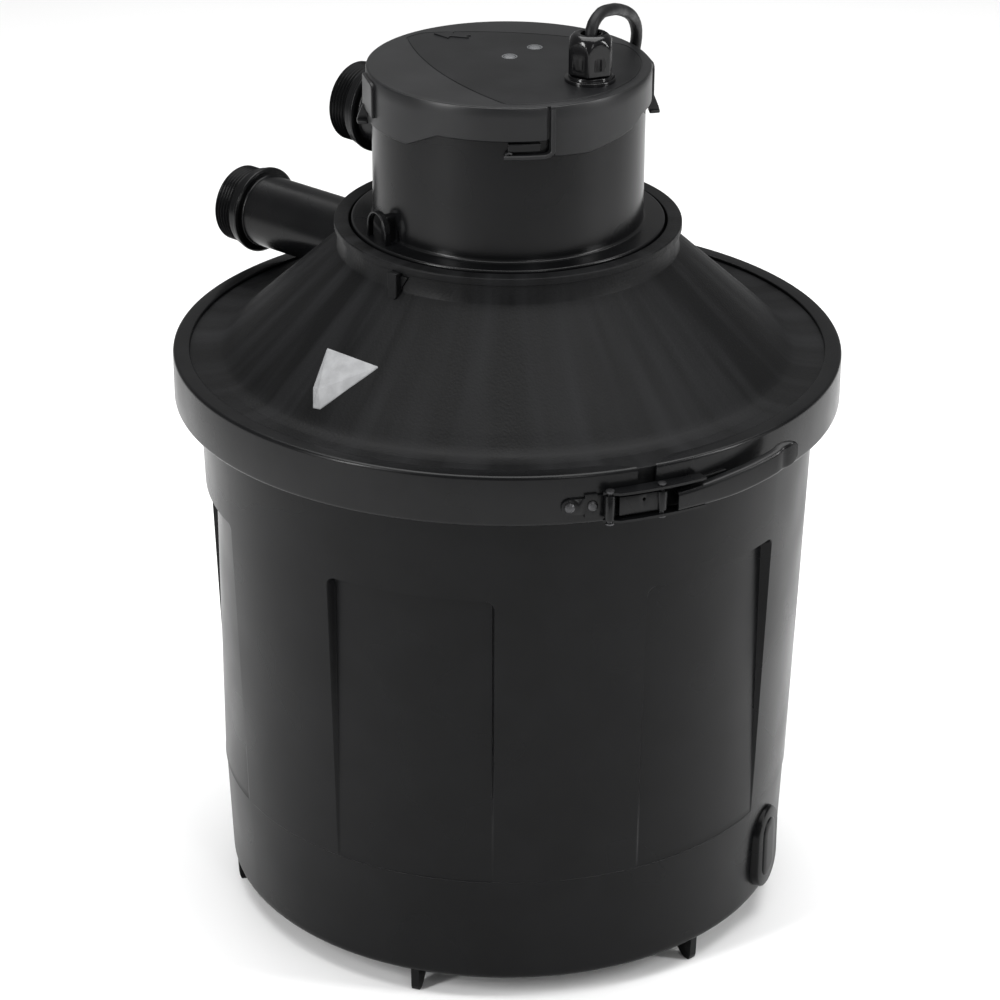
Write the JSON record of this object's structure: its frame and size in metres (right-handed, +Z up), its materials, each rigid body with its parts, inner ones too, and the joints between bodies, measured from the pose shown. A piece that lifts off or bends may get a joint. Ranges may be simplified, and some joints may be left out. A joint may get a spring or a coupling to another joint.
{
  "type": "pressurized pond filter",
  "caption": "Pressurised pond filter: round black tank with a latched clamp band, cone lid with a threaded port, UV head with a second port, bayonet cap and mains lead.",
  "frame": {"origin": "centre of the pad under the tank, on the tank's axis, on the surface it stands on", "axes": "+Z up along the tank's axis; -Y is the side with the latch; both ports point to -X and +Y, 139.5 degrees from +X"},
  "size_m": [0.4, 0.5284, 0.565],
  "materials": {
    "tank_plastic": "satin black moulded plastic",
    "lid_plastic": "matt black plastic with a fine grain",
    "head_plastic": "satin dark grey plastic",
    "cap_plastic": "satin dark grey plastic",
    "panel_plastic": "semi-gloss dark grey plastic",
    "marker_plastic": "light grey plastic",
    "seal_rubber": "black rubber",
    "black_metal": "glossy black coated steel",
    "rivet_metal": "black coated steel",
    "inner_plastic": "dark grey plastic",
    "foam_blue": "open-cell filter foam",
    "foam_dark": "open-cell filter foam",
    "lens_plastic": "smoked clear plastic",
    "gland_plastic": "glossy black nylon",
    "quartz": "clear quartz glass",
    "lamp_white": "white ceramic and frosted glass",
    "board_green": "green circuit board",
    "screw_steel": "zinc-plated steel",
    "cable_rubber": "black rubber sheath",
    "plug_plastic": "black moulded rubber"
  },
  "bodies": {
    "tank": {"tank_shell": "tank_plastic", "flange_seal": "seal_rubber", "bottom_grid": "inner_plastic", "centre_pipe": "inner_plastic", "foam_ring_1": "foam_blue", "foam_ring_2": "foam_dark", "foam_ring_3": "foam_blue", "foam_ring_4": "foam_dark", "foam_ring_5": "foam_blue", "top_grid": "inner_plastic", "pipe_nut": "inner_plastic", "clamp_band": "black_metal", "latch_bracket": "black_metal", "bracket_rivets": "rivet_metal", "catch_bracket": "black_metal", "catch_rivets": "rivet_metal"},
    "lever": {"latch_lever": "black_metal", "pivot_pin": "rivet_metal", "link_pin": "rivet_metal"},
    "link": {"draw_link": "black_metal"},
    "lid": {"lid_cone": "lid_plastic", "direction_marker": "marker_plastic"},
    "head": {"head_seal": "seal_rubber", "uv_housing": "head_plastic"},
    "cap": {"cap_shell": "cap_plastic", "cap_panel": "panel_plastic", "cap_seal": "seal_rubber", "status_lens_1": "lens_plastic", "status_lens_2": "lens_plastic", "gland_washer": "gland_plastic", "gland_body": "gland_plastic", "gland_nut": "gland_plastic", "gland_seal": "seal_rubber", "quartz_tube": "quartz", "quartz_nut": "inner_plastic", "quartz_seal": "seal_rubber", "lamp_socket": "lamp_white", "uv_lamp": "lamp_white", "control_board": "board_green", "board_screws": "screw_steel", "mains_cable": "cable_rubber", "cable_coil": "cable_rubber", "cable_tail": "cable_rubber", "power_plug": "plug_plastic"}
  },
  "joints": [
    {"name": "lever_swing", "type": "hinge", "parent": "tank", "child": "lever", "pos_m": [0.0564, -0.19667, 0.335], "axis": [0, 0, -1], "range_deg": [0, 130]},
    {"name": "link_swing", "type": "hinge", "parent": "lever", "child": "link", "pos_m": [0.08517, -0.18603, 0.335], "axis": [0, 0, -1], "range_deg": [-112, 0]},
    {"name": "lid_lift", "type": "slide", "parent": "tank", "child": "lid", "axis": [0, 0, 1], "range_m": [0, 0.15], "deforming": ["clamp_band"]},
    {"name": "head_turn", "type": "hinge", "parent": "lid", "child": "head", "pos_m": [0, 0, 0.42], "axis": [0, 0, 1], "range_deg": [0, 20]},
    {"name": "cap_turn", "type": "hinge", "parent": "head", "child": "cap", "pos_m": [0, 0, 0.51], "axis": [0, 0, 1], "range_deg": [0, 18]}
  ],
  "couplings": [
    {"joint": "link_swing", "follows": "lever_swing", "ratio": -0.85}
  ]
}
